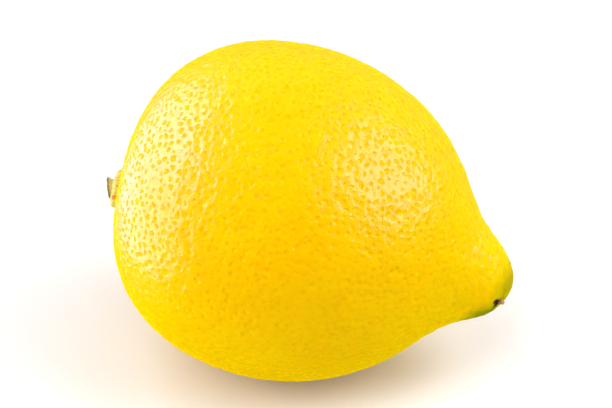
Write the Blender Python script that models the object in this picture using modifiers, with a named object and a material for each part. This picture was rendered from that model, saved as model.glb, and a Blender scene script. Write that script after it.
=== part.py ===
"""A whole lemon lying on its side, as picked.

Four pieces: the fruit, the lobed calyx at its stem end, the cut stub of the stem that stands on
the calyx, and the dry style left in the scar at the tip of the nipple. Metres, +Z up. The origin
is the middle of the small flat spot that the fruit rests on, and +X runs from the stem end to the
nipple.

The skin is one rule: along every direction from the middle of the fruit it gives the distance to
the surface. A blunt stem half and a tapering tip half, both turned about the fruit's own X axis,
are blended into a short drooping nipple. The calyx and the style sit in that same skin.
"""
import math

import bmesh
import bpy
import numpy as np
from mathutils import Euler, Matrix, Vector

# Driving dimensions, metres and radians, in the fruit's own frame: X along it, Z on its upper side.
WIDEST_RADIUS = 0.0310        # half of the fruit's width
STEM_LENGTH = 0.0304          # widest section to stem end
TIP_LENGTH = 0.0358           # widest section to where the taper would close without a nipple
STEM_FULLNESS = 2.33          # 2 is an ellipse, more is blunter
TIP_FULLNESS = 1.96
NIPPLE_CENTRE = (0.0331, 0.0, -0.0020)
NIPPLE_LENGTH = 0.0110        # half length, along its own drooping axis
NIPPLE_RADIUS = 0.0079
NIPPLE_DROOP = 0.167
SHOULDER_BLEND = 0.0029       # softness of the hollow between the taper and the nipple
LOBE_HEIGHT = 0.00022         # the slight angularity of the fruit's cross-section
STEM_BELOW, STEM_ASIDE = 0.127, 0.190      # how far off the end of the X axis the stem joins
SCAR_BELOW, SCAR_ASIDE = 0.135, 0.035      # and the style's scar, at the other end
BASIN_DEPTH, BASIN_WIDTH = 0.0005, 0.0060
SCAR_DEPTH, SCAR_WIDTH = 0.0009, 0.0016

GAP = 0.0003                  # clearance between neighbouring pieces
CALYX_THICKNESS = 0.0006      # at the collar; half of that at the edge
CALYX_RISE = 0.0003           # how far the collar stands off the skin
CALYX_RADIUS = 0.0034         # mean radius; the lobes reach past it
CALYX_LOBE = 0.00045
CALYX_LOBES = 5
STUB_RADIUS = 0.0019
STUB_HEIGHT = 0.0018          # on its axis; the cut slants
STUB_SLANT = math.radians(16)
STYLE_RADIUS = 0.0008
STYLE_HEIGHT = 0.0010

NOSE_DOWN = math.radians(8.54)    # how far the nipple end dips at rest
ROLL = math.radians(-36.7)        # turn about the fruit's own axis at rest
REST_SPOT_RADIUS = 0.0048

COLLECTION = "lemon"


# ---- the skin ----

def skin_blend(points):
    """Signed measure of each point against the body and nipple together, below zero inside."""
    x, side = points[:, 0], np.hypot(points[:, 1], points[:, 2])
    stemward = x < 0
    length = np.where(stemward, STEM_LENGTH, TIP_LENGTH)
    power = np.where(stemward, STEM_FULLNESS, TIP_FULLNESS)
    body = ((np.abs(x) / length) ** power + (side / WIDEST_RADIUS) ** power) ** (1 / power)
    body = (body - 1) * WIDEST_RADIUS
    off = points - np.array(NIPPLE_CENTRE)
    along = off[:, 0] * math.cos(NIPPLE_DROOP) - off[:, 2] * math.sin(NIPPLE_DROOP)
    above = off[:, 0] * math.sin(NIPPLE_DROOP) + off[:, 2] * math.cos(NIPPLE_DROOP)
    nipple = np.sqrt((along / NIPPLE_LENGTH) ** 2 + (off[:, 1] ** 2 + above ** 2) / NIPPLE_RADIUS ** 2)
    nipple = (nipple - 1) * NIPPLE_RADIUS
    least = np.minimum(body, nipple)
    spread = np.exp((least - body) / SHOULDER_BLEND) + np.exp((least - nipple) / SHOULDER_BLEND)
    return least - SHOULDER_BLEND * np.log(spread)


def end_direction(along, aside, below):
    direction = np.array((along, -aside, -below))
    return direction / np.linalg.norm(direction)


STEM_DIRECTION = end_direction(-1, STEM_ASIDE, STEM_BELOW)
SCAR_DIRECTION = end_direction(1, SCAR_ASIDE, SCAR_BELOW)


def skin_distance(directions):
    """Distance from the fruit's middle to its skin along each unit direction."""
    low, high = np.full(len(directions), 0.005), np.full(len(directions), 0.060)
    for _ in range(32):
        middle = (low + high) / 2
        inside = skin_blend(directions * middle[:, None]) < 0
        low, high = np.where(inside, middle, low), np.where(inside, high, middle)
    radius = (low + high) / 2
    around = np.arctan2(directions[:, 2], directions[:, 1])
    girth = 1 - directions[:, 0] ** 2
    radius += LOBE_HEIGHT * girth * (np.cos(3 * around + 0.6) + 0.6 * np.cos(5 * around + 2.1))
    for pole, depth, width in ((STEM_DIRECTION, BASIN_DEPTH, BASIN_WIDTH),
                               (SCAR_DIRECTION, SCAR_DEPTH, SCAR_WIDTH)):
        away = radius * np.arccos(np.clip(directions @ pole, -1, 1))
        radius -= depth * np.exp(-(away / width) ** 2)
    return radius


def skin_frame(direction):
    """Matrix with its origin on the skin, Z along the outward normal and Y along the fruit's Y."""
    lift = 0.05 * np.array(((0, 1, 0), (-direction[2], 0, direction[0])))
    near = direction + np.concatenate((lift, -lift))
    near /= np.linalg.norm(near, axis=1)[:, None]
    points = near * skin_distance(near)[:, None]
    normal = np.cross(points[0] - points[2], points[1] - points[3])
    normal *= math.copysign(1 / np.linalg.norm(normal), normal @ direction)
    z_axis = Vector(normal)
    x_axis = Vector((0, 1, 0)).cross(z_axis).normalized()
    frame = Matrix((x_axis, z_axis.cross(x_axis), z_axis)).transposed().to_4x4()
    frame.translation = Vector(direction * skin_distance(direction[None])[0])
    return frame


def skin_height(frame, across):
    """Height of the skin above the frame's XY plane at each point of that plane."""
    turn = np.array(frame.to_3x3())
    origin = np.array(frame.translation)
    low, high = np.full(len(across), -0.008), np.full(len(across), 0.004)
    for _ in range(28):
        middle = (low + high) / 2
        points = np.column_stack((across, middle)) @ turn.T + origin
        reach = np.linalg.norm(points, axis=1)
        inside = reach < skin_distance(points / reach[:, None])
        low, high = np.where(inside, middle, low), np.where(inside, high, middle)
    return (low + high) / 2


# ---- scene helpers ----

def add_collection(name):
    collection = bpy.data.collections.new(name)
    bpy.context.scene.collection.children.link(collection)
    return collection


def add_object(name, mesh, collection):
    obj = bpy.data.objects.new(name, mesh)
    collection.objects.link(obj)
    return obj


def mesh_from(bm, name):
    mesh = bpy.data.meshes.new(name)
    bm.to_mesh(mesh)
    bm.free()
    mesh.shade_smooth()
    return mesh


def add_material(obj, colour, roughness):
    material = bpy.data.materials.new(obj.name)
    material.use_nodes = True
    shader = material.node_tree.nodes["Principled BSDF"]
    shader.inputs["Base Color"].default_value = (*colour, 1)
    shader.inputs["Roughness"].default_value = roughness
    shader.inputs["Metallic"].default_value = 0
    material.diffuse_color = (*colour, 1)
    obj.data.materials.append(material)


def place(obj, parent, frame):
    """Seat a piece on the fruit: parented to it, at a frame given in the fruit's own axes."""
    obj.parent = parent
    obj.location = frame.to_translation()
    obj.rotation_euler = frame.to_euler()


def turned(profile, steps):
    """A profile of (radius, height) points, top to bottom, swept once around Z."""
    bm = bmesh.new()
    points = [bm.verts.new((radius, 0, height)) for radius, height in profile]
    edges = [bm.edges.new(pair) for pair in zip(points, points[1:])]
    bmesh.ops.spin(bm, geom=points + edges, cent=(0, 0, 0), axis=(0, 0, 1), angle=2 * math.pi,
                   steps=steps, use_duplicate=False)
    bmesh.ops.remove_doubles(bm, verts=bm.verts, dist=0.00001)
    bmesh.ops.recalc_face_normals(bm, faces=bm.faces)
    return bm


def disc(radius, count):
    """Points on circles that fill a disc, as (x, y) rows."""
    turns = np.linspace(0, 2 * math.pi, count, endpoint=False)
    ring = np.column_stack((np.cos(turns), np.sin(turns)))
    return np.concatenate((ring * radius, ring * radius / 2, ((0, 0),)))


# ---- the pieces ----

def build_fruit(collection):
    """A sphere whose poles lie on X, each vertex moved out to the skin."""
    bm = bmesh.new()
    bmesh.ops.create_uvsphere(bm, u_segments=48, v_segments=38, radius=1)
    polar = [math.acos(max(-1, min(1, v.co.z))) for v in bm.verts]
    around = [math.atan2(v.co.y, v.co.x) for v in bm.verts]
    directions = []
    for angle, turn in zip(polar, around):
        angle = math.pi * (angle / math.pi) ** 1.35       # closer rings on the nipple
        directions.append((math.cos(angle), math.sin(angle) * math.cos(turn),
                           math.sin(angle) * math.sin(turn)))
    directions = np.array(directions)
    for vert, point in zip(bm.verts, directions * skin_distance(directions)[:, None]):
        vert.co = point
    fruit = add_object("fruit", mesh_from(bm, "fruit"), collection)
    fruit.rotation_euler = Euler((ROLL, NOSE_DOWN, 0))
    return fruit


def lowest_point(turn):
    """The skin's lowest point once turned, searched on an ever finer patch of directions."""
    down = np.array(turn.transposed() @ Vector((0, 0, -1)))
    side = np.cross(down, (0, 1, 0))
    side /= np.linalg.norm(side)
    other = np.cross(down, side)
    best, reach = down, 0.6
    steps = np.linspace(-1, 1, 9)
    for _ in range(12):
        patch = np.array([best + reach * (a * side + b * other) for a in steps for b in steps])
        patch /= np.linalg.norm(patch, axis=1)[:, None]
        points = patch * skin_distance(patch)[:, None]
        lowest = np.argmax(points @ down)
        best, reach = patch[lowest], reach * 0.4
    return turn @ Vector(points[lowest])


def cut_rest_spot(fruit, cutters):
    """Lower the fruit into the ground plane until the spot has its radius, and cut it level."""
    depth = REST_SPOT_RADIUS ** 2 / (2 * WIDEST_RADIUS)
    fruit.location = Vector((0, 0, -depth)) - lowest_point(fruit.rotation_euler.to_matrix())
    size = 0.05
    bm = bmesh.new()
    bmesh.ops.create_cube(bm, size=size)
    ground = add_object("ground_cutter", mesh_from(bm, "ground_cutter"), cutters)
    ground.location = (0, 0, -size / 2)
    ground.hide_render = True
    ground.display_type = "WIRE"
    cut = fruit.modifiers.new("rest spot", "BOOLEAN")
    cut.operation = "DIFFERENCE"
    cut.solver = "EXACT"
    cut.object = ground


def build_calyx(collection, frame):
    """A thin ring with soft lobes that follows the skin and rises to a collar around the stub."""
    rings, sectors = 6, 40
    inner = STUB_RADIUS + GAP
    bm = bmesh.new()
    across, rise = [], []
    for ring in range(rings):
        share = ring / (rings - 1)
        for k in range(sectors):
            a = 2 * math.pi * k / sectors
            outer = CALYX_RADIUS + CALYX_LOBE * math.cos(CALYX_LOBES * a)
            radius = inner + (outer - inner) * share
            across.append((radius * math.cos(a), radius * math.sin(a)))
            rise.append(GAP + CALYX_RISE * (1 - share) ** 2)
    across = np.array(across)
    height = skin_height(frame, across) + rise
    grid = [bm.verts.new((x, y, z)) for (x, y), z in zip(across, height)]
    for start in range(0, len(grid) - sectors, sectors):
        for k in range(sectors):
            n = (k + 1) % sectors
            bm.faces.new((grid[start + k], grid[start + sectors + k],
                          grid[start + sectors + n], grid[start + n]))
    calyx = add_object("calyx", mesh_from(bm, "calyx"), collection)
    thick = calyx.vertex_groups.new(name="thick")
    for index in range(len(across)):
        share = (index // sectors) / (rings - 1)
        thick.add([index], 1 - 0.5 * share ** 2, "REPLACE")
    solid = calyx.modifiers.new("thickness", "SOLIDIFY")
    solid.thickness = CALYX_THICKNESS
    solid.offset = 1
    solid.vertex_group = "thick"
    return calyx


def build_stub(collection):
    """The stem, cut on a slant: a short waisted post with a flared rim and sunken pith."""
    r, h = STUB_RADIUS, STUB_HEIGHT
    profile = [(0, h - 0.00025), (0.35 * r, h - 0.00022), (0.55 * r, h - 0.00006), (0.88 * r, h),
               (0.98 * r, h - 0.00012), (r, h - 0.00032), (0.93 * r, 0.55 * h), (0.93 * r, 0.3 * h),
               (0.98 * r, 0.0001), (0.94 * r, 0), (0, 0)]
    bm = turned(profile, 28)
    for vert in bm.verts:
        vert.co.z *= 1 + vert.co.x * math.tan(STUB_SLANT) / h
    return add_object("stem_stub", mesh_from(bm, "stem_stub"), collection)


def build_style(collection):
    """The dry style: a small blunt peg that narrows upward."""
    r, h = STYLE_RADIUS, STYLE_HEIGHT
    profile = [(0, h)]
    for k in range(1, 5):
        a = math.pi / 2 * k / 4
        profile.append((0.62 * r * math.sin(a), h - 0.35 * r * (1 - math.cos(a))))
    profile += [(0.70 * r, 0.55 * h), (0.88 * r, 0.25 * h), (r, 0.08 * h), (0.92 * r, 0), (0, 0)]
    return add_object("style_remnant", mesh_from(turned(profile, 20), "style_remnant"), collection)


def main():
    for obj in list(bpy.data.objects):
        bpy.data.objects.remove(obj, do_unlink=True)
    pieces, cutters = add_collection(COLLECTION), add_collection("cutters")

    fruit = build_fruit(pieces)
    cut_rest_spot(fruit, cutters)
    stem_frame, scar_frame = skin_frame(STEM_DIRECTION), skin_frame(SCAR_DIRECTION)

    calyx = build_calyx(pieces, stem_frame)
    place(calyx, fruit, stem_frame)
    stub = build_stub(pieces)
    seat = skin_height(stem_frame, disc(STUB_RADIUS, 16)).max() + GAP
    place(stub, fruit, stem_frame @ Matrix.Translation((0, 0, seat)))
    style = build_style(pieces)
    seat = skin_height(scar_frame, disc(STYLE_RADIUS, 16)).max() + GAP
    place(style, fruit, scar_frame @ Matrix.Translation((0, 0, seat)))

    add_material(fruit, (0.93, 0.62, 0.02), 0.38)
    add_material(calyx, (0.30, 0.27, 0.09), 0.70)
    add_material(stub, (0.50, 0.38, 0.18), 0.80)
    add_material(style, (0.16, 0.09, 0.04), 0.85)


main()
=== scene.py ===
"""A ripe lemon on a pale floor in a white studio, under soft lights.

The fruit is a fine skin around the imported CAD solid: a cube blown up to the fruit's own shape,
with low waves, every oil gland as a dimple, the furrow at the nipple and the creases at the stem
worked into its vertices. The glands' crisp edges, the colours and the wax come from nodes. The
calyx, the cut stem and the dry style are modelled as loops of points around their own axes.
Lengths are in metres, and in millimetres where a name or a comment says so, as in the materials.
"""

import math

import bpy
import numpy as np
from mathutils import Euler, Matrix, Vector, kdtree, noise


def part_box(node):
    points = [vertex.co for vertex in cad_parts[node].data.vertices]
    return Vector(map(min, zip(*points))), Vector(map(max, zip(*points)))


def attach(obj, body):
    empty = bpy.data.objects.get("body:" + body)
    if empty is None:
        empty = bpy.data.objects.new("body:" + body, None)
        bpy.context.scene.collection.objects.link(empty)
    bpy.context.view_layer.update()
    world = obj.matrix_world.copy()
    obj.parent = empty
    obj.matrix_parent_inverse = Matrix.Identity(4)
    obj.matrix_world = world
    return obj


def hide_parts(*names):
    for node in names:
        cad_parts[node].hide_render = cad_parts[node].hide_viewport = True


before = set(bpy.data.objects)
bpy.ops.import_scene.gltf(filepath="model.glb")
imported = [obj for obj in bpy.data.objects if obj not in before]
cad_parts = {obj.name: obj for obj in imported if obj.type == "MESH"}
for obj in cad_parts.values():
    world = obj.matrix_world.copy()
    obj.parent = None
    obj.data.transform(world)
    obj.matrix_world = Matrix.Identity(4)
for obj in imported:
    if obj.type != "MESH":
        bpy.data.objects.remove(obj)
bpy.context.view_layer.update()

MM = 0.001
rng = np.random.default_rng(11)

# The CAD part's own dimensions, metres and radians, in the fruit's frame: X along it, Z up.
WIDEST_RADIUS = 0.0310
STEM_LENGTH, TIP_LENGTH = 0.0304, 0.0358
STEM_FULLNESS, TIP_FULLNESS = 2.33, 1.96
NIPPLE_CENTRE = (0.0331, 0.0, -0.0020)
NIPPLE_LENGTH, NIPPLE_RADIUS, NIPPLE_DROOP = 0.0110, 0.0079, 0.167
SHOULDER_BLEND = 0.0029
LOBE_HEIGHT = 0.00022
STEM_BELOW, STEM_ASIDE = 0.127, 0.190
SCAR_BELOW, SCAR_ASIDE = 0.135, 0.035
BASIN_DEPTH, BASIN_WIDTH = 0.0005, 0.0060
SCAR_DEPTH, SCAR_WIDTH = 0.0009, 0.0016
NOSE_DOWN, ROLL = math.radians(8.54), math.radians(-36.7)
CALYX_RADIUS, CALYX_LOBES = 0.0034, 5
STUB_RADIUS, STUB_HEIGHT, STUB_SLANT = 0.0019, 0.0018, math.radians(16)
STYLE_RADIUS, STYLE_HEIGHT = 0.0008, 0.0010
GAP = 0.0003

# The peel's mesh.
QUADS = 129                   # along each edge of the cube that the fruit is blown up from
BROAD_WAVE = (0.16 * MM, 17 * MM)             # height and width
SMALL_WAVE = (0.080 * MM, 4.4 * MM)
PEBBLE_WAVE = (0.115 * MM, 1.35 * MM)
CREASE_DEPTH = 0.20 * MM      # of the folds that run out from the calyx
GLAND_SPACING = 1.05 * MM     # least distance between two oil glands
GLAND_TRIES = 70000
GLAND_RADIUS = (0.30 * MM, 0.63 * MM)
GLAND_DEPTH = 0.075 * MM      # dimple of a large gland in the mesh
# The furrow on the nipple: where it runs, across the scar's own frame.
FURROW = np.array(((-0.5, -0.8), (-1.56, -1.84), (-2.74, -2.88), (-4.4, -4.0), (-6.2, -4.6))) * MM
FURROW_DEPTH, FURROW_WIDTH = 0.16 * MM, 0.34 * MM
# The notch in the scar's rim.
NOTCH_PLACE, NOTCH_SHAPE = np.array((0.50, -1.60)) * MM, (0.8, 1.4)
NOTCH_DEPTH, NOTCH_WIDTH = 0.30 * MM, 0.75 * MM

# The peel's material. The places are in the scar's own frame.
PEEL_EDGE, WAX_EDGE = 0.35, 0.54      # depth of a gland's crisp middle, against its radius
# The dark pit and dark lip are where the scar's own brown and painted shadow in its pit and notch
# are drawn.
DARK_PIT = (0.40 * MM, -0.40 * MM, 0.0)
DARK_LIP = (0.50 * MM, -2.10 * MM, 0.15 * MM)
GREEN_BELOW, GREEN_ABOVE = (3.5 * MM, 1.5 * MM, -1.0 * MM), (-2.5 * MM, 1.5 * MM, -0.5 * MM)

# The small pieces. The spot's and the fold's places are in millimetres in the stem's own frame; the
# fold's dark mark is painted shade in a crease.
LOBE_INSET, LOBE_REACH = 0.75 * MM, 1.05 * MM     # a gap's depth, and a lobe's length from there
CALYX_THICK, CALYX_TAPER = 1.42 * MM, 0.62 * MM   # at the stub, and how much less at the edge
CALYX_SUNK, CALYX_UNDER_STUB = 0.15 * MM, 0.25 * MM
STUB_ROOT, STUB_BEVEL, STUB_DISH = 0.5 * MM, 0.2 * MM, 0.20 * MM
STYLE_ROOT, STYLE_CROWN = 0.4 * MM, 0.14 * MM
SPOT, FOLD_SHADE_PLACE = (-1.44, -2.88, 0.55), (0.66, -3.36, 0.15)
STYLE_SLIM, STYLE_SHIFT = (0.62, 0.55, 1.05), np.array((-0.20, 0.30, 0)) * MM     # from its CAD
# The style's dark foot: its own dark tissue and painted shadow in the pit around it.
STYLE_BURN_AND_SHADE = (0.25, -0.35, 0.05)      # millimetres, in the scar's own frame

# The studio. Turns are to the right of the camera and rises above the floor, in degrees.
CAMERA_TURN, CAMERA_RISE = math.radians(13.2), math.radians(35)
CAMERA_LENS, CAMERA_DISTANCE = 100, 0.3148
OFF_CENTRE = (-0.00433, -0.00135)      # where the fruit's middle stands from the picture's
SOFTBOX_DISTANCE = 0.60
SHINE_COLOUR = (0.45, 0.37, 1.0)
SOFTBOXES = (                     # name, turn, rise, size, radiance, shine
    ("light_left", -80, 8, (0.50, 0.50), 4.7, False),
    ("light_front", -45, 62, (0.50, 0.50), 3.3, False),
    ("light_right", 80, 38, (0.50, 0.50), 2.9, False),
    ("light_above", 90, 62, (0.50, 0.50), 2.35, False),
    ("light_back", 180, 15, (0.50, 0.50), 1.0, False),
    ("shine_left", -104, 9, (1.00, 0.98), 5.5, True),
    ("shine_upper", -100, 38, (0.36, 0.36), 5.0, True),
    ("shine_right", 82, 35, (0.55, 0.45), 5.6, True),
)
FLOOR_RADIUS, FLOOR_SIDES, FLOOR_GLOW = 0.36, 128, 0.02
WORLD_FILL, WORLD_SHINE = 0.04, 0.22     # its light on the pieces, and its most in mirrors


# ---- the skin, the same rule as the CAD part's ----

def skin_blend(points):
    """Signed measure of each point against the body and nipple together, below zero inside."""
    x, side = points[:, 0], np.hypot(points[:, 1], points[:, 2])
    stemward = x < 0
    length = np.where(stemward, STEM_LENGTH, TIP_LENGTH)
    power = np.where(stemward, STEM_FULLNESS, TIP_FULLNESS)
    body = ((np.abs(x) / length) ** power + (side / WIDEST_RADIUS) ** power) ** (1 / power)
    body = (body - 1) * WIDEST_RADIUS
    off = points - np.array(NIPPLE_CENTRE)
    along = off[:, 0] * math.cos(NIPPLE_DROOP) - off[:, 2] * math.sin(NIPPLE_DROOP)
    above = off[:, 0] * math.sin(NIPPLE_DROOP) + off[:, 2] * math.cos(NIPPLE_DROOP)
    nipple = (off[:, 1] ** 2 + above ** 2) / NIPPLE_RADIUS ** 2
    nipple = np.sqrt((along / NIPPLE_LENGTH) ** 2 + nipple)
    nipple = (nipple - 1) * NIPPLE_RADIUS
    least = np.minimum(body, nipple)
    spread = np.exp((least - body) / SHOULDER_BLEND) + np.exp((least - nipple) / SHOULDER_BLEND)
    return least - SHOULDER_BLEND * np.log(spread)


def end_direction(along, aside, below):
    direction = np.array((along, -aside, -below))
    return direction / np.linalg.norm(direction)


STEM_DIRECTION = end_direction(-1, STEM_ASIDE, STEM_BELOW)
SCAR_DIRECTION = end_direction(1, SCAR_ASIDE, SCAR_BELOW)


def skin_distance(directions):
    """Distance from the fruit's middle to its skin along each unit direction."""
    low, high = np.full(len(directions), 0.005), np.full(len(directions), 0.060)
    for _ in range(32):
        middle = (low + high) / 2
        inside = skin_blend(directions * middle[:, None]) < 0
        low, high = np.where(inside, middle, low), np.where(inside, high, middle)
    radius = (low + high) / 2
    around = np.arctan2(directions[:, 2], directions[:, 1])
    girth = 1 - directions[:, 0] ** 2
    radius += LOBE_HEIGHT * girth * (np.cos(3 * around + 0.6) + 0.6 * np.cos(5 * around + 2.1))
    for pole, depth, width in ((STEM_DIRECTION, BASIN_DEPTH, BASIN_WIDTH),
                               (SCAR_DIRECTION, SCAR_DEPTH, SCAR_WIDTH)):
        away = radius * np.arccos(np.clip(directions @ pole, -1, 1))
        radius -= depth * np.exp(-(away / width) ** 2)
    return radius


def skin_frame(direction):
    """Matrix with its origin on the skin, Z along the outward normal and Y along the fruit's Y."""
    lift = 0.05 * np.array(((0, 1, 0), (-direction[2], 0, direction[0])))
    near = direction + np.concatenate((lift, -lift))
    near /= np.linalg.norm(near, axis=1)[:, None]
    points = near * skin_distance(near)[:, None]
    normal = np.cross(points[0] - points[2], points[1] - points[3])
    normal *= math.copysign(1 / np.linalg.norm(normal), normal @ direction)
    z_axis = Vector(normal)
    x_axis = Vector((0, 1, 0)).cross(z_axis).normalized()
    matrix = Matrix((x_axis, z_axis.cross(x_axis), z_axis)).transposed().to_4x4()
    matrix.translation = Vector(direction * skin_distance(direction[None])[0])
    return matrix


def skin_height(matrix, across):
    """Height of the skin above the matrix's XY plane at each point of that plane."""
    turn, origin = np.array(matrix.to_3x3()), np.array(matrix.translation)
    low, high = np.full(len(across), -0.008), np.full(len(across), 0.004)
    for _ in range(28):
        middle = (low + high) / 2
        points = np.column_stack((across, middle)) @ turn.T + origin
        reach = np.linalg.norm(points, axis=1)
        inside = reach < skin_distance(points / reach[:, None])
        low, high = np.where(inside, middle, low), np.where(inside, high, middle)
    return (low + high) / 2


# ---- small tools ----

def smooth(x, low, high):
    """0 below low, 1 above high, and a smooth step between."""
    t = np.clip((x - low) / (high - low), 0, 1)
    return t * t * (3 - 2 * t)


def wobble(points, width, seed):
    """Smooth noise from about -1 to 1 at each point, in waves about that wide."""
    shift = Vector((seed * 7.31, seed * 3.17, seed * 5.73))
    return np.array([noise.noise(Vector(p) / width + shift) for p in points])


def apply(matrix, points):
    return points @ np.array(matrix.to_3x3()).T + np.array(matrix.translation)


def add_piece(name, points, faces, material, slot, *nodes):
    mesh = bpy.data.meshes.new(name)
    mesh.from_pydata(points.tolist(), [], faces.tolist() if hasattr(faces, "tolist") else faces)
    mesh.shade_smooth()
    mesh.materials.append(material)
    obj = bpy.data.objects.new(name, mesh)
    bpy.context.scene.collection.objects.link(obj)
    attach(obj, "root")
    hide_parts(*nodes)
    return obj


def loops(rows, count):
    """Quads between rows of count points each, every row a closed ring, in order."""
    faces = []
    for row in range(rows - 1):
        for k in range(count):
            n = (k + 1) % count
            here, above = row * count, (row + 1) * count
            faces.append((here + k, here + n, above + n, above + k))
    return faces


# ---- material nodes ----

class Nodes:
    """One material's nodes, in short calls. A value fed to an input is a socket or a constant."""

    def __init__(self, name):
        self.material = bpy.data.materials.new(name)
        self.material.use_nodes = True
        self.tree = self.material.node_tree
        self.shader = self.tree.nodes["Principled BSDF"]

    def feed(self, socket, value):
        if isinstance(value, bpy.types.NodeSocket):
            self.tree.links.new(value, socket)
        else:
            socket.default_value = value

    def add(self, kind, inputs=None, out=0, **settings):
        node = self.tree.nodes.new("ShaderNode" + kind)
        for name, value in settings.items():
            setattr(node, name, value)
        for name, value in (inputs or {}).items():
            self.feed(node.inputs[name], value)
        return node.outputs[out]

    def math(self, operation, a, b=0.0, c=0.0):
        return self.add("Math", {0: a, 1: b, 2: c}, operation=operation)

    def vector(self, operation, a, b=(0, 0, 0), out=0):
        return self.add("VectorMath", {0: a, 1: b}, out=out, operation=operation)

    def scaled(self, a, by):
        return self.add("VectorMath", {0: a, "Scale": by}, operation="SCALE")

    def step(self, value, low, high, start=0.0, end=1.0):
        """Smooth step from start at low to end at high."""
        ends = {"From Min": low, "From Max": high, "To Min": start, "To Max": end}
        return self.add("MapRange", {"Value": value} | ends, interpolation_type="SMOOTHSTEP")

    def mix(self, share, a, b):
        return self.add("Mix", {0: share, 6: a, 7: b}, out=2, data_type="RGBA")

    def noise(self, where, width, detail=2.0, roughness=0.5, distortion=0.0):
        """Noise from 0 to 1 in waves about that wide, in where's own unit."""
        return self.add("TexNoise", {"Vector": where, "Scale": 1 / width, "Detail": detail,
                                     "Roughness": roughness, "Distortion": distortion})

    def place(self):
        """Position on the piece in millimetres."""
        return self.vector("MULTIPLY", self.add("TexCoord", out=3), (1000, 1000, 1000))

    def attribute(self, name, out):
        return self.add("Attribute", out=out, attribute_name=name)

    def distance(self, a, b):
        return self.vector("DISTANCE", a, b, out=1)

    def bump(self, height_mm, socket="Normal"):
        """Bump from a height in millimetres."""
        height = self.math("MULTIPLY", height_mm, MM)
        self.feed(self.shader.inputs[socket],
                  self.add("Bump", {"Height": height, "Strength": 1.0, "Distance": 1.0}))

    def set(self, **inputs):
        for name, value in inputs.items():
            self.feed(self.shader.inputs[name.replace("_", " ")], value)


def colour(red, green, blue):
    return (red, green, blue, 1.0)


WHITE = colour(1, 1, 1)
PEEL_GOLD, PEEL_YELLOW = colour(0.905, 0.540, 0.0005), colour(0.925, 0.575, 0.0008)
PEEL_GRAIN, PEEL_TIP = colour(0.90, 0.515, 0.0004), colour(0.87, 0.560, 0.0008)
# The burnt colour is the scar's own brown together with painted shadow in its pit and notch.
PEEL_GREEN, PEEL_BURNT_AND_PIT_SHADE = colour(0.200, 0.230, 0.002), colour(0.030, 0.012, 0.005)
# The pores' colours are the glands' own deeper tint together with painted shade in their dimples.
GLAND_TINT_AND_SHADE, GREEN_GLAND_TINT_AND_SHADE = colour(0.82, 0.425, 0.0002), colour(0.10, 0.14, 0.001)

# Dry and cut tissue: light, dark and mottled.
CALYX_TINTS = colour(0.80, 0.73, 0.17), colour(0.52, 0.47, 0.08), colour(0.62, 0.50, 0.10)
STEM_TINTS = colour(0.82, 0.69, 0.28), colour(0.52, 0.42, 0.12), colour(0.60, 0.40, 0.12)
STYLE_TINTS = colour(0.82, 0.52, 0.18), colour(0.40, 0.19, 0.06), colour(0.14, 0.05, 0.02)
# The fold's tint is painted shade in the crease between stub and lobe; the spot's is the calyx's
# own colour.
SPOT_TINT, FOLD_SHADE_TINT = colour(0.58, 0.20, 0.004), colour(0.30, 0.23, 0.05)
# The charred colour is the style's own dark foot together with painted shadow in the pit around it.
CUT_TINT, CHARRED_AND_PIT_SHADE = colour(0.26, 0.20, 0.045), colour(0.05, 0.02, 0.008)
FLOOR_TINT = colour(0.88, 0.89, 0.92)


# ---- the fruit ----

def blown_cube(count):
    """A cube made a sphere: unit directions, quads and each corner's place on a six-chart map."""
    i, j = np.meshgrid(np.arange(count + 1), np.arange(count + 1), indexing="ij")
    cells, corner_maps, quads = [], [], []
    for axis in range(3):
        for side in (0, count):
            cell = np.empty((count + 1, count + 1, 3), int)
            cell[..., axis] = side
            cell[..., (axis + 1) % 3], cell[..., (axis + 2) % 3] = i, j
            start = len(cells) * (count + 1) ** 2
            index = start + i * (count + 1) + j
            quad = np.stack((index[:-1, :-1], index[1:, :-1], index[1:, 1:], index[:-1, 1:]), -1)
            quad = quad.reshape(-1, 4)
            quads.append(quad if side else quad[:, ::-1])
            chart = len(cells)                     # a third of the map wide and half of it high
            u = (chart % 3 + 0.012 + 0.976 * i / count) / 3
            v = (chart // 3 + 0.008 + 0.984 * j / count) / 2
            corner_maps.append(np.stack((u, v), -1).reshape(-1, 2))
            cells.append(cell.reshape(-1, 3))
    cells, quads = np.concatenate(cells), np.concatenate(quads)
    corner_uv = np.concatenate(corner_maps)[quads]
    unique, back = np.unique(cells, axis=0, return_inverse=True)
    directions = np.tan((unique / count - 0.5) * math.pi / 2)
    directions /= np.linalg.norm(directions, axis=1)[:, None]
    return directions, back.reshape(-1)[quads], corner_uv


def even_out(directions):
    """The same directions, slid along the fruit so that their rows are evenly apart on the skin."""
    polar = np.linspace(0, math.pi, 3000)
    meridian = np.column_stack((np.cos(polar), np.sin(polar), np.zeros(len(polar))))
    points = meridian * skin_distance(meridian)[:, None]
    length = np.concatenate(((0,), np.cumsum(np.linalg.norm(np.diff(points, axis=0), axis=1))))
    angle = np.arccos(np.clip(directions[:, 0], -1, 1))
    angle = np.interp(angle / math.pi, length / length[-1], polar)
    side = np.hypot(directions[:, 1], directions[:, 2])
    side = np.where(side < 1e-9, 1, side)
    return np.column_stack((np.cos(angle), np.sin(angle) * directions[:, 1] / side,
                            np.sin(angle) * directions[:, 2] / side))


def vertex_normals(points, quads):
    corners = points[quads]
    normal = np.cross(corners[:, 2] - corners[:, 0], corners[:, 3] - corners[:, 1])
    total = np.zeros_like(points)
    for k in range(4):
        np.add.at(total, quads[:, k], normal)
    return total / np.linalg.norm(total, axis=1)[:, None]


def tree_of(points):
    tree = kdtree.KDTree(len(points))
    for index, point in enumerate(points):
        tree.insert(point, index)
    tree.balance()
    return tree


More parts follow.
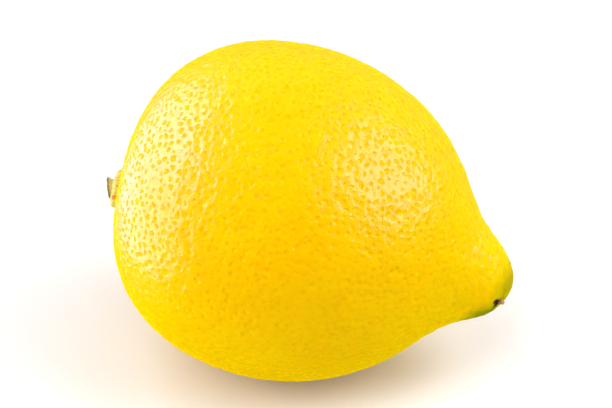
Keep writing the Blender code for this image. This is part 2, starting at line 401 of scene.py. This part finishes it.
def scatter_glands(points, quads):
    """Oil glands strewn over the skin, none closer than the spacing. Returns places and radii."""
    corners = points[quads]
    area = np.cross(corners[:, 2] - corners[:, 0], corners[:, 3] - corners[:, 1])
    area = np.linalg.norm(area, axis=1)
    pick = rng.choice(len(quads), GLAND_TRIES, p=area / area.sum())
    u, v = rng.random((2, GLAND_TRIES, 1))
    c = corners[pick]
    places = (1 - u) * ((1 - v) * c[:, 0] + v * c[:, 3]) + u * ((1 - v) * c[:, 1] + v * c[:, 2])
    gaps = GLAND_SPACING * rng.uniform(0.92, 1.22, len(places))
    tree = tree_of(places)
    dropped = np.zeros(len(places), bool)
    kept = []
    for index, place in enumerate(places):
        if not dropped[index]:
            kept.append(index)
            for _, other, _ in tree.find_range(place, gaps[index]):
                dropped[other] = True
    radii = rng.uniform(*GLAND_RADIUS, len(kept))
    return places[kept], radii


def distance_to_run(points, run):
    """Distance of each point of a plane to a line of straight stretches."""
    nearest = np.full(len(points), 1.0)
    for start, end in zip(run[:-1], run[1:]):
        stretch = end - start
        share = np.clip((points - start) @ stretch / (stretch @ stretch), 0, 1)
        away = np.linalg.norm(points - start - share[:, None] * stretch, axis=1)
        nearest = np.minimum(nearest, away)
    return nearest


def skin_relief(points, stem_frame, scar_frame):
    """Height of the waves, creases, furrow and notch at each point of the skin."""
    from_stem = np.linalg.norm(points - np.array(stem_frame.translation), axis=1)
    from_scar = np.linalg.norm(points - np.array(scar_frame.translation), axis=1)

    # Waves of three widths, calmer on the nipple and against the calyx.
    calm = smooth(from_scar, 1 * MM, 9 * MM) * smooth(from_stem, 3 * MM, 7 * MM)
    lift = BROAD_WAVE[0] * wobble(points, BROAD_WAVE[1], 1) * calm
    lift += SMALL_WAVE[0] * wobble(points, SMALL_WAVE[1], 2) * calm
    lift += PEBBLE_WAVE[0] * wobble(points, PEBBLE_WAVE[1], 3) * (0.7 + 0.3 * calm)

    # Creases that run out from the calyx.
    local = apply(stem_frame.inverted(), points)
    around = np.arctan2(local[:, 1], local[:, 0])
    fold = np.abs(np.sin(4.5 * around + 0.8 * wobble(points, 6 * MM, 4)))
    reach = smooth(from_stem, 2 * MM, 4 * MM) * smooth(from_stem, 11 * MM, 4 * MM)
    lift -= CREASE_DEPTH * (1 - fold) ** 2 * reach

    # The furrow up the nipple, and the notch in the scar's rim.
    across = apply(scar_frame.inverted(), points)[:, :2]
    reach = smooth(from_scar, 8.5 * MM, 4.5 * MM)
    away = distance_to_run(across, FURROW)
    lift -= FURROW_DEPTH * np.exp(-(away / FURROW_WIDTH) ** 2) * reach
    away = np.linalg.norm((across - NOTCH_PLACE) / NOTCH_SHAPE, axis=1)
    lift -= NOTCH_DEPTH * np.exp(-(away / NOTCH_WIDTH) ** 2) * (from_scar < 6 * MM)
    return lift


def gland_dimples(points, glands, radii, scar):
    """How deep each point lies in the dimples around it, as a share of GLAND_DEPTH."""
    tree = tree_of(points)
    deep = np.zeros(len(points))
    shallow = 1 - 0.3 * np.exp(-(np.linalg.norm(glands - scar, axis=1) / (5 * MM)) ** 2)
    for place, radius, share in zip(glands, radii, shallow):
        wide = 1.15 * radius
        for _, index, away in tree.find_range(place, 2.2 * wide):
            deep[index] += share * (radius / GLAND_RADIUS[1]) * math.exp(-(away / wide) ** 2)
    return deep


def build_fruit(stem_frame, scar_frame):
    directions, quads, corner_uv = blown_cube(QUADS)
    directions = even_out(directions)
    points = directions * skin_distance(directions)[:, None]
    normals = vertex_normals(points, quads)
    glands, radii = scatter_glands(points, quads)
    lift = skin_relief(points, stem_frame, scar_frame)
    lift -= GLAND_DEPTH * gland_dimples(points, glands, radii, np.array(scar_frame.translation))
    points = points + normals * lift[:, None]

    # Each quad carries its two nearest glands, so that the material can draw them exactly.
    tree = tree_of(glands)
    nearest = np.array([[found[1] for found in tree.find_n(m, 2)] for m in points[quads].mean(1)])
    return points, quads, corner_uv, glands, radii, nearest


def seat_fruit(points):
    """The turn and shift that put the fruit where the CAD fruit is, by the CAD's own box."""
    turn = Euler((ROLL, NOSE_DOWN, 0)).to_matrix()
    turned = points @ np.array(turn).T
    low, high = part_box("fruit")
    middle = (turned.max(0) + turned.min(0)) / 2
    shift = Vector(((low.x + high.x) / 2 - middle[0], (low.y + high.y) / 2 - middle[1],
                    high.z - turned[:, 2].max()))
    matrix = turn.to_4x4()
    matrix.translation = shift
    return matrix


def gland_masks(n, at):
    """The nearest gland's mouth, 1 in it and 0 around it, and the depth of its dimple."""
    warp = n.add("TexNoise", {"Vector": at, "Scale": 1 / 0.9, "Detail": 1.0}, out=1)
    warp = n.vector("MULTIPLY", n.vector("SUBTRACT", warp, (0.5, 0.5, 0.5)), (0.55, 0.55, 0.55))
    bent = n.vector("ADD", at, warp)
    mouths, depths = [], []
    for which in ("a", "b"):
        middle = n.vector("MULTIPLY", n.attribute("gland_" + which, 1), (1000, 1000, 1000))
        size = n.attribute("size_" + which, 2)
        away = n.math("DIVIDE", n.distance(bent, middle), size)
        mouths.append(n.step(away, 1.06, 0.58))
        depths.append(n.math("MULTIPLY", n.step(away, 1.25, -0.45), size))
    return n.math("MAXIMUM", *mouths), n.math("MAXIMUM", *depths)


def peel_colour(n, at, from_pit, green_places, mouth, grain, burn_and_pit_shade):
    """Patchy yellow with darker mouths, green under the nipple's end and dark in the scar. The
    mouths are darker by the glands' own tint and by painted shade in their dimples; the scar's dark
    is its own brown and painted shadow in its pit and notch.
    """
    patch = n.noise(at, 14.0, 2)
    yellow = n.mix(n.step(patch, 0.30, 0.70), PEEL_GOLD, PEEL_YELLOW)
    yellow = n.mix(n.step(grain, 0.30, 0.72, 0.0, 0.5), yellow, PEEL_GRAIN)
    yellow = n.mix(n.step(from_pit, 24.0, 8.0), yellow, PEEL_TIP)
    ragged = n.math("MULTIPLY", n.noise(at, 3.0, 2), 1.6)
    below, above = [n.math("ADD", n.distance(at, place), ragged) for place in green_places]
    green = n.math("MAXIMUM", n.step(below, 7.6, 3.2), n.step(above, 8.4, 3.9, 0.0, 0.66))
    # The mouths' darker colour: the glands' own tint and painted shade in the dimples.
    gland_tint_and_shade_share = n.math("MULTIPLY", mouth, n.step(from_pit, 7.0, 20.0, 0.10, 0.28))
    skin = n.mix(gland_tint_and_shade_share, n.mix(green, yellow, PEEL_GREEN), n.mix(green, GLAND_TINT_AND_SHADE, GREEN_GLAND_TINT_AND_SHADE))
    # The scar's own brown and painted shadow in its pit and notch go over the skin.
    return n.mix(burn_and_pit_shade, skin, PEEL_BURNT_AND_PIT_SHADE)


def peel_material(pit, lip, green_places):
    """Waxy yellow peel. All the places and lengths are in millimetres."""
    n = Nodes("peel")
    at = n.place()
    from_pit = n.distance(at, pit)
    mouth, depth = gland_masks(n, at)
    grain, fine = n.noise(at, 0.76, 2, 0.55), n.noise(at, 0.16, 2, 0.5)
    spread = n.math("MULTIPLY", grain, 0.7)
    # The scar's own brown and painted shadow in its pit and the notch, ragged at the edge.
    burn_and_pit_shade = n.math("MAXIMUM", n.step(n.math("ADD", from_pit, spread), 1.75, 1.35),
                  n.step(n.math("ADD", n.distance(at, lip), spread), 1.15, 0.85))

    # The wax is crisper in the glands than the peel under it. Both are calmer at the nipple.
    fine_height = n.math("MULTIPLY", fine, n.step(from_pit, 9.0, 16.0, 0.010, 0.006))
    for edge, near, swell, socket in ((PEEL_EDGE, 0.25, 0.12, "Normal"),
                                      (WAX_EDGE, 0.80, 0.18, "Coat Normal")):
        dimple = n.math("MULTIPLY", depth, n.step(from_pit, 4.0, 13.0, -near * edge, -edge))
        pebble = n.math("MULTIPLY", grain, n.step(from_pit, 9.0, 18.0, 1.3 * swell, swell))
        n.bump(n.math("ADD", n.math("ADD", dimple, pebble), fine_height), socket)

    # The wax is missing in the mouths, between the nipple's dashes and where the scar is painted
    # dark, brown and shadowed.
    dashes = n.noise(n.vector("MULTIPLY", at, (1.0, 0.55, 0.55)), 0.95, 1)
    gaps = n.math("MULTIPLY", n.step(dashes, 0.56, 0.49), n.step(from_pit, 15.0, 10.0, 0.0, 0.9))
    bare = n.math("MULTIPLY", mouth, n.step(from_pit, 5.0, 15.0, 0.7, 1.0))
    bare = n.math("MAXIMUM", n.math("MAXIMUM", bare, gaps), burn_and_pit_shade)
    grazing = n.step(n.add("LayerWeight", {"Blend": 0.5}, out=1), 0.66, 0.93, 1.0, 0.22)
    n.set(Base_Color=peel_colour(n, at, from_pit, green_places, mouth, grain, burn_and_pit_shade),
          Roughness=n.step(grain, 0.25, 0.75, 0.36, 0.46), Specular_IOR_Level=0.0,
          Coat_Weight=n.math("MULTIPLY", n.step(bare, 0.0, 1.0, 0.80, 0.03), grazing),
          Coat_Roughness=0.11, Subsurface_Weight=n.step(burn_and_pit_shade, 0.0, 1.0, 0.9, 0.0),
          Subsurface_Scale=0.0012, Subsurface_Radius=(1.0, 0.6, 0.15))
    return n.material


def add_fruit(stem_frame, scar_frame):
    points, quads, corner_uv, glands, radii, nearest = build_fruit(stem_frame, scar_frame)
    seat = seat_fruit(points)
    points, glands = apply(seat, points), apply(seat, glands)
    points[:, 2] = np.maximum(points[:, 2], 0)             # the flat spot it rests on
    # The dark places hold the scar's brown and painted shadow in its pit and notch.
    pit, lip, below, above = [tuple(seat @ (scar_frame @ Vector(place)) / MM)
                              for place in (DARK_PIT, DARK_LIP, GREEN_BELOW, GREEN_ABOVE)]
    material = peel_material(pit, lip, (below, above))
    fruit = add_piece("peel", points, quads, material, "peel", "fruit")
    mesh = fruit.data
    uv = mesh.uv_layers.new(name="OFBake")
    uv.uv.foreach_set("vector", corner_uv.reshape(-1).astype(np.float32))
    for which, column in (("a", 0), ("b", 1)):
        chosen = nearest[:, column]
        place = mesh.attributes.new("gland_" + which, "FLOAT_VECTOR", "FACE")
        place.data.foreach_set("vector", glands[chosen].reshape(-1).astype(np.float32))
        size = mesh.attributes.new("size_" + which, "FLOAT", "FACE")
        size.data.foreach_set("value", (radii[chosen] / MM).astype(np.float32))
    return seat


# ---- calyx, stem and style ----

def ring_noise(angles, width, depth):
    """Smooth noise around a ring, in waves about that many radians wide."""
    places = [(math.cos(a) / width, math.sin(a) / width, depth) for a in angles]
    return np.array([noise.noise(Vector(place)) for place in places])


def calyx_points(stem_frame):
    """Five uneven lobes in one ring, as loops around its cross-section, pressed into the skin."""
    sectors, around = 180, 44
    angles = np.linspace(0, 2 * math.pi, sectors, endpoint=False)
    ragged, fine = ring_noise(angles, 0.55, 0.3), ring_noise(angles, 0.14, 1.7)
    wave = CALYX_LOBES / 2 * angles + 0.5 * ring_noise(angles, 0.9, 4.1)
    lobe = np.abs(np.cos(wave)) ** 0.7                         # 0 in the gaps, 1 on the lobes
    outer = CALYX_RADIUS - LOBE_INSET + LOBE_REACH * lobe
    outer += 0.30 * MM * ragged + 0.07 * MM * fine
    inner = STUB_RADIUS - CALYX_UNDER_STUB
    rows = []
    for k in range(around):
        turn = 2 * math.pi * k / around
        share = 0.5 - 0.5 * math.cos(turn)                     # 0 at the stub, 1 at the lobe's edge
        radius = inner + (outer - inner) * share
        across = np.column_stack((radius * np.cos(angles), radius * np.sin(angles)))
        floor = skin_height(stem_frame, across)
        if turn < math.pi:
            fold = 0.16 * MM * (1 - lobe) * smooth(share, 0.1, 0.6) + 0.05 * MM * fine * share
            rib = 0.10 * MM * np.exp(-((1 - lobe) / 0.10) ** 2) * (1 - share)
            curl = 0.22 * MM * lobe * (1 + 1.2 * ragged) * share ** 3
            thick = CALYX_THICK - CALYX_TAPER * share - fold + rib + curl
            height = floor - CALYX_SUNK + (thick + CALYX_SUNK) * math.sin(turn) ** 0.35
        else:
            height = floor - CALYX_SUNK - 0.25 * MM * abs(math.sin(turn))
        rows.append(np.column_stack((across, height)))
    points = np.concatenate(rows)
    faces = loops(around, sectors)
    last = (around - 1) * sectors
    faces += [(last + k, last + (k + 1) % sectors, (k + 1) % sectors, k) for k in range(sectors)]
    return points, faces


def post_points(profile, sectors, radial, height_change):
    """An uneven turned post, closed at both ends. The profile's rows are (radius, height)."""
    angles = np.linspace(0, 2 * math.pi, sectors, endpoint=False)
    rows = []
    for radius, height in profile:
        r = radius * (1 + radial(angles, radius, height))
        rows.append(np.column_stack((r * np.cos(angles), r * np.sin(angles),
                                     height + height_change(angles, radius, height))))
    points = np.concatenate(rows)
    faces = loops(len(rows), sectors)
    faces.append(tuple(reversed(range(sectors))))
    faces.append(tuple(range((len(rows) - 1) * sectors, len(rows) * sectors)))
    return points, faces


def post_noise(angles, scale, depth):
    """Smooth noise around a post. A larger scale has more waves around it."""
    places = [(scale * math.cos(a), scale * math.sin(a), depth) for a in angles]
    return np.array([noise.noise(Vector(place)) for place in places])


def stub_points():
    """The cut end of the stem: ribbed sides, a slanted torn rim and a dished face."""
    r, h = STUB_RADIUS, STUB_HEIGHT
    side = [(r * (0.97 - 0.07 * math.sin(math.pi * t) + 0.05 * t ** 3),
             -STUB_ROOT + (h + STUB_ROOT - STUB_BEVEL) * t) for t in np.linspace(0, 1, 14)]
    rim = [(r * 1.03 - 0.16 * MM * (1 - math.cos(a)), h - STUB_BEVEL + STUB_BEVEL * math.sin(a))
           for a in np.linspace(0.25, math.pi / 2, 6)]
    face = [(r * x, h - STUB_DISH * (1 - smooth(np.array(x), 0.35, 0.9))
             - 0.02 * MM * math.cos(26 * x)) for x in np.linspace(0.90, 0.03, 22)]

    def radial(angles, radius, height):
        return 0.055 * post_noise(angles, 4.5, height / (1.6 * MM)) + 0.02 * np.cos(3 * angles)

    def rise(angles, radius, height):
        slant = math.tan(STUB_SLANT) * radius * np.cos(angles) * max(height, 0) / h
        torn = post_noise(angles, 3, radius / (0.9 * MM))
        return slant + 0.10 * MM * torn * max(height, 0) / h

    return post_points(side + rim + face, 96, radial, rise)


def style_points():
    """The dry end of the style: a folded post that tapers to a torn crown."""
    r, h = STYLE_RADIUS, STYLE_HEIGHT
    side = [(r * (1.0 - 0.34 * t + 0.10 * math.sin(math.pi * t)),
             -STYLE_ROOT + (h - 0.05 * MM) * t) for t in np.linspace(0, 1, 12)]
    top = [(r * 0.64 * math.cos(a), h - 0.45 * MM + STYLE_CROWN * math.sin(a))
           for a in np.linspace(0.2, 1.5, 8)]

    def radial(angles, radius, height):
        return 0.22 * post_noise(angles, 2.6, height / (0.7 * MM))

    def rise(angles, radius, height):
        torn = post_noise(angles, 2.2, 5 + radius / (0.4 * MM))
        return 0.22 * MM * torn * max(height, 0) / h

    return post_points(side + top, 48, radial, rise)


def plant_material(name, tints, rough, centre, axis, grain, marks=(), rim=None):
    """Dry or cut plant tissue: two tones in streaks along the axis, mottled and matt.

    Lengths are in millimetres. marks are spots, each with a place from the centre, a reach and a
    colour. rim is a direction, a height along it and the colour beyond that height.
    """
    n = Nodes(name)
    light, dark, mottled = tints
    at = n.vector("SUBTRACT", n.place(), centre)
    along = n.vector("DOT_PRODUCT", at, axis, out=1)
    flat = n.vector("SUBTRACT", at, n.scaled(axis, along))
    stretched = n.vector("ADD", flat, n.scaled(axis, n.math("MULTIPLY", along, 0.3)))
    fibre = n.noise(stretched, grain, 4, 0.65, 0.4)
    base = n.mix(n.step(fibre, 0.32, 0.68), dark, light)
    base = n.mix(n.step(n.noise(at, 1.6, 3, 0.6), 0.45, 0.75, 0.0, 0.8), base, mottled)
    for place, reach, tint in marks:
        ragged = n.math("ADD", n.distance(at, place), n.math("MULTIPLY", fibre, 0.35))
        base = n.mix(n.step(ragged, reach + 0.30, reach), base, tint)
    if rim:
        direction, height, tint = rim
        ragged = n.math("ADD", n.vector("DOT_PRODUCT", at, direction, out=1), fibre)
        base = n.mix(n.step(ragged, height + 0.35, height + 0.60), base, tint)
    n.bump(n.math("MULTIPLY", fibre, 0.10))
    n.set(Base_Color=base, Roughness=n.step(fibre, 0.2, 0.8, rough, rough + 0.18),
          Specular_IOR_Level=0.2, Subsurface_Weight=0.0)
    return n.material


def centre_and_axis(matrix):
    """A frame's origin in millimetres and its Z axis."""
    return tuple(matrix.translation / MM), tuple(matrix.to_3x3() @ Vector((0, 0, 1)))


def add_small_pieces(seat, stem_frame, scar_frame):
    stem_seat, scar_seat = seat @ stem_frame, seat @ scar_frame
    stem_turn, scar_turn = stem_seat.to_3x3(), scar_seat.to_3x3()

    points, faces = calyx_points(stem_frame)
    centre, axis = centre_and_axis(stem_seat)
    spot = (tuple(stem_turn @ Vector(SPOT)), 0.50, SPOT_TINT)
    # Painted shade in the crease between the stub and a lobe.
    fold = (tuple(stem_turn @ Vector(FOLD_SHADE_PLACE)), 0.20, FOLD_SHADE_TINT)
    calyx = plant_material("calyx", CALYX_TINTS, 0.55, centre, axis, 0.35, (spot, fold))
    add_piece("calyx_lobes", apply(stem_seat, points), faces, calyx, "calyx_green", "calyx")

    points, faces = stub_points()
    base = stem_seat @ Matrix.Translation((0, 0, GAP))
    slanted = tuple(stem_turn @ Vector((-math.tan(STUB_SLANT), 0, 1)))
    rim = (slanted, (STUB_HEIGHT + GAP) / MM - 0.35, CUT_TINT)
    stem = plant_material("stem", STEM_TINTS, 0.60, centre, axis, 0.22, (spot,), rim)
    add_piece("cut_stem", apply(base, points), faces, stem, "stem_wood", "stem_stub")

    points, faces = style_points()
    points = points * STYLE_SLIM + STYLE_SHIFT
    floor = skin_height(scar_frame, np.zeros((1, 2)))[0]
    base = scar_seat @ Matrix.Translation((0, 0, floor + GAP))
    centre, axis = centre_and_axis(scar_seat)
    # The style's own dark foot and painted shadow in the pit around it.
    burnt_and_pit_shade = (tuple(scar_turn @ Vector(STYLE_BURN_AND_SHADE)), 0.45, CHARRED_AND_PIT_SHADE)
    style = plant_material("dry_style", STYLE_TINTS, 0.70, centre, axis, 0.30, (burnt_and_pit_shade,))
    add_piece("dry_style", apply(base, points), faces, style, "dry_style", "style_remnant")


# ---- floor, light, camera ----

def camera_axes():
    """The picture's right, its up and the way back to the camera, as the camera is turned."""
    look = Vector((-math.sin(CAMERA_TURN) * math.cos(CAMERA_RISE),
                   math.cos(CAMERA_TURN) * math.cos(CAMERA_RISE), -math.sin(CAMERA_RISE)))
    right = Vector((math.cos(CAMERA_TURN), math.sin(CAMERA_TURN), 0))
    return right, right.cross(look), -look


def add_camera(middle):
    right, up, back = camera_axes()
    camera = bpy.data.objects.new("camera", bpy.data.cameras.new("camera"))
    bpy.context.scene.collection.objects.link(camera)
    camera.data.lens, camera.data.sensor_width, camera.data.clip_start = CAMERA_LENS, 36, 0.01
    matrix = Matrix((right, up, back)).transposed().to_4x4()
    target = middle - OFF_CENTRE[0] * right - OFF_CENTRE[1] * up
    matrix.translation = target + CAMERA_DISTANCE * back
    camera.matrix_world = matrix
    bpy.context.scene.camera = camera


def add_softbox(middle, name, turn, rise, size, radiance, shine):
    """A soft light that faces the fruit, turned and raised in degrees as SOFTBOXES says.

    One with shine only mirrors in the skin, and one without it only lights the skin. The shine is
    cool, so that it pales the yellow without brightening it.
    """
    right, _, back = camera_axes()
    flat = Vector((back.x, back.y, 0)).normalized()
    turn, rise = math.radians(turn), math.radians(rise)
    direction = (flat * math.cos(turn) + right * math.sin(turn)) * math.cos(rise)
    direction.z = math.sin(rise)
    light = bpy.data.lights.new(name, "AREA")
    light.shape, light.size, light.size_y = "RECTANGLE", size[0], size[1]
    light.energy = radiance * math.pi * size[0] * size[1]
    light.color = SHINE_COLOUR if shine else (1, 1, 1)
    obj = bpy.data.objects.new(name, light)
    bpy.context.scene.collection.objects.link(obj)
    obj.location = middle + direction * SOFTBOX_DISTANCE
    obj.rotation_euler = direction.to_track_quat("Z", "Y").to_euler()
    obj.visible_camera = False
    obj.visible_glossy, obj.visible_diffuse = shine, not shine


def add_floor(middle):
    """A round pale floor that glows a little, so that it stays white under the fruit."""
    angles = np.linspace(0, 2 * math.pi, FLOOR_SIDES, endpoint=False)
    edge = [(middle.x + FLOOR_RADIUS * math.cos(a), middle.y + FLOOR_RADIUS * math.sin(a), 0)
            for a in angles]
    mesh = bpy.data.meshes.new("floor")
    mesh.from_pydata(edge, [], [tuple(range(len(edge)))])
    floor = bpy.data.objects.new("floor", mesh)
    bpy.context.scene.collection.objects.link(floor)
    floor.visible_glossy = False
    n = Nodes("floor")
    n.set(Base_Color=FLOOR_TINT, Roughness=0.9, Specular_IOR_Level=0.0,
          Emission_Color=WHITE, Emission_Strength=FLOOR_GLOW)
    mesh.materials.append(n.material)


def add_world():
    """A studio that is white to the eye, while only its far side mirrors in the fruit."""
    world = bpy.data.worlds.new("studio")
    bpy.context.scene.world = world
    world.use_nodes = True
    nodes, links = world.node_tree.nodes, world.node_tree.links
    behind = nodes.new("ShaderNodeVectorMath")
    behind.operation = "DOT_PRODUCT"
    links.new(nodes.new("ShaderNodeTexCoord").outputs["Generated"], behind.inputs[0])
    away = -camera_axes()[2]
    behind.inputs[1].default_value = Vector((away.x, away.y, 0.30)).normalized()
    ramp = nodes.new("ShaderNodeMapRange")
    ramp.interpolation_type = "SMOOTHSTEP"
    links.new(behind.outputs["Value"], ramp.inputs["Value"])
    ends = {"From Min": 0.25, "From Max": 0.75, "To Min": 0.0, "To Max": WORLD_SHINE}
    for name, value in ends.items():
        ramp.inputs[name].default_value = value
    ray = nodes.new("ShaderNodeLightPath").outputs
    mirrored, strength = nodes.new("ShaderNodeMix"), nodes.new("ShaderNodeMix")
    links.new(ray["Is Glossy Ray"], mirrored.inputs["Factor"])
    mirrored.inputs["A"].default_value = WORLD_FILL
    links.new(ramp.outputs["Result"], mirrored.inputs["B"])
    links.new(ray["Is Camera Ray"], strength.inputs["Factor"])
    links.new(mirrored.outputs["Result"], strength.inputs["A"])
    strength.inputs["B"].default_value = 1.0
    links.new(strength.outputs["Result"], nodes["Background"].inputs["Strength"])
    nodes["Background"].inputs["Color"].default_value = WHITE


stem_frame, scar_frame = skin_frame(STEM_DIRECTION), skin_frame(SCAR_DIRECTION)
seat = add_fruit(stem_frame, scar_frame)
add_small_pieces(seat, stem_frame, scar_frame)
add_camera(seat.translation)
add_floor(seat.translation)
add_world()
for softbox in SOFTBOXES:
    add_softbox(seat.translation, *softbox)
bpy.context.scene.view_settings.view_transform = "Standard"
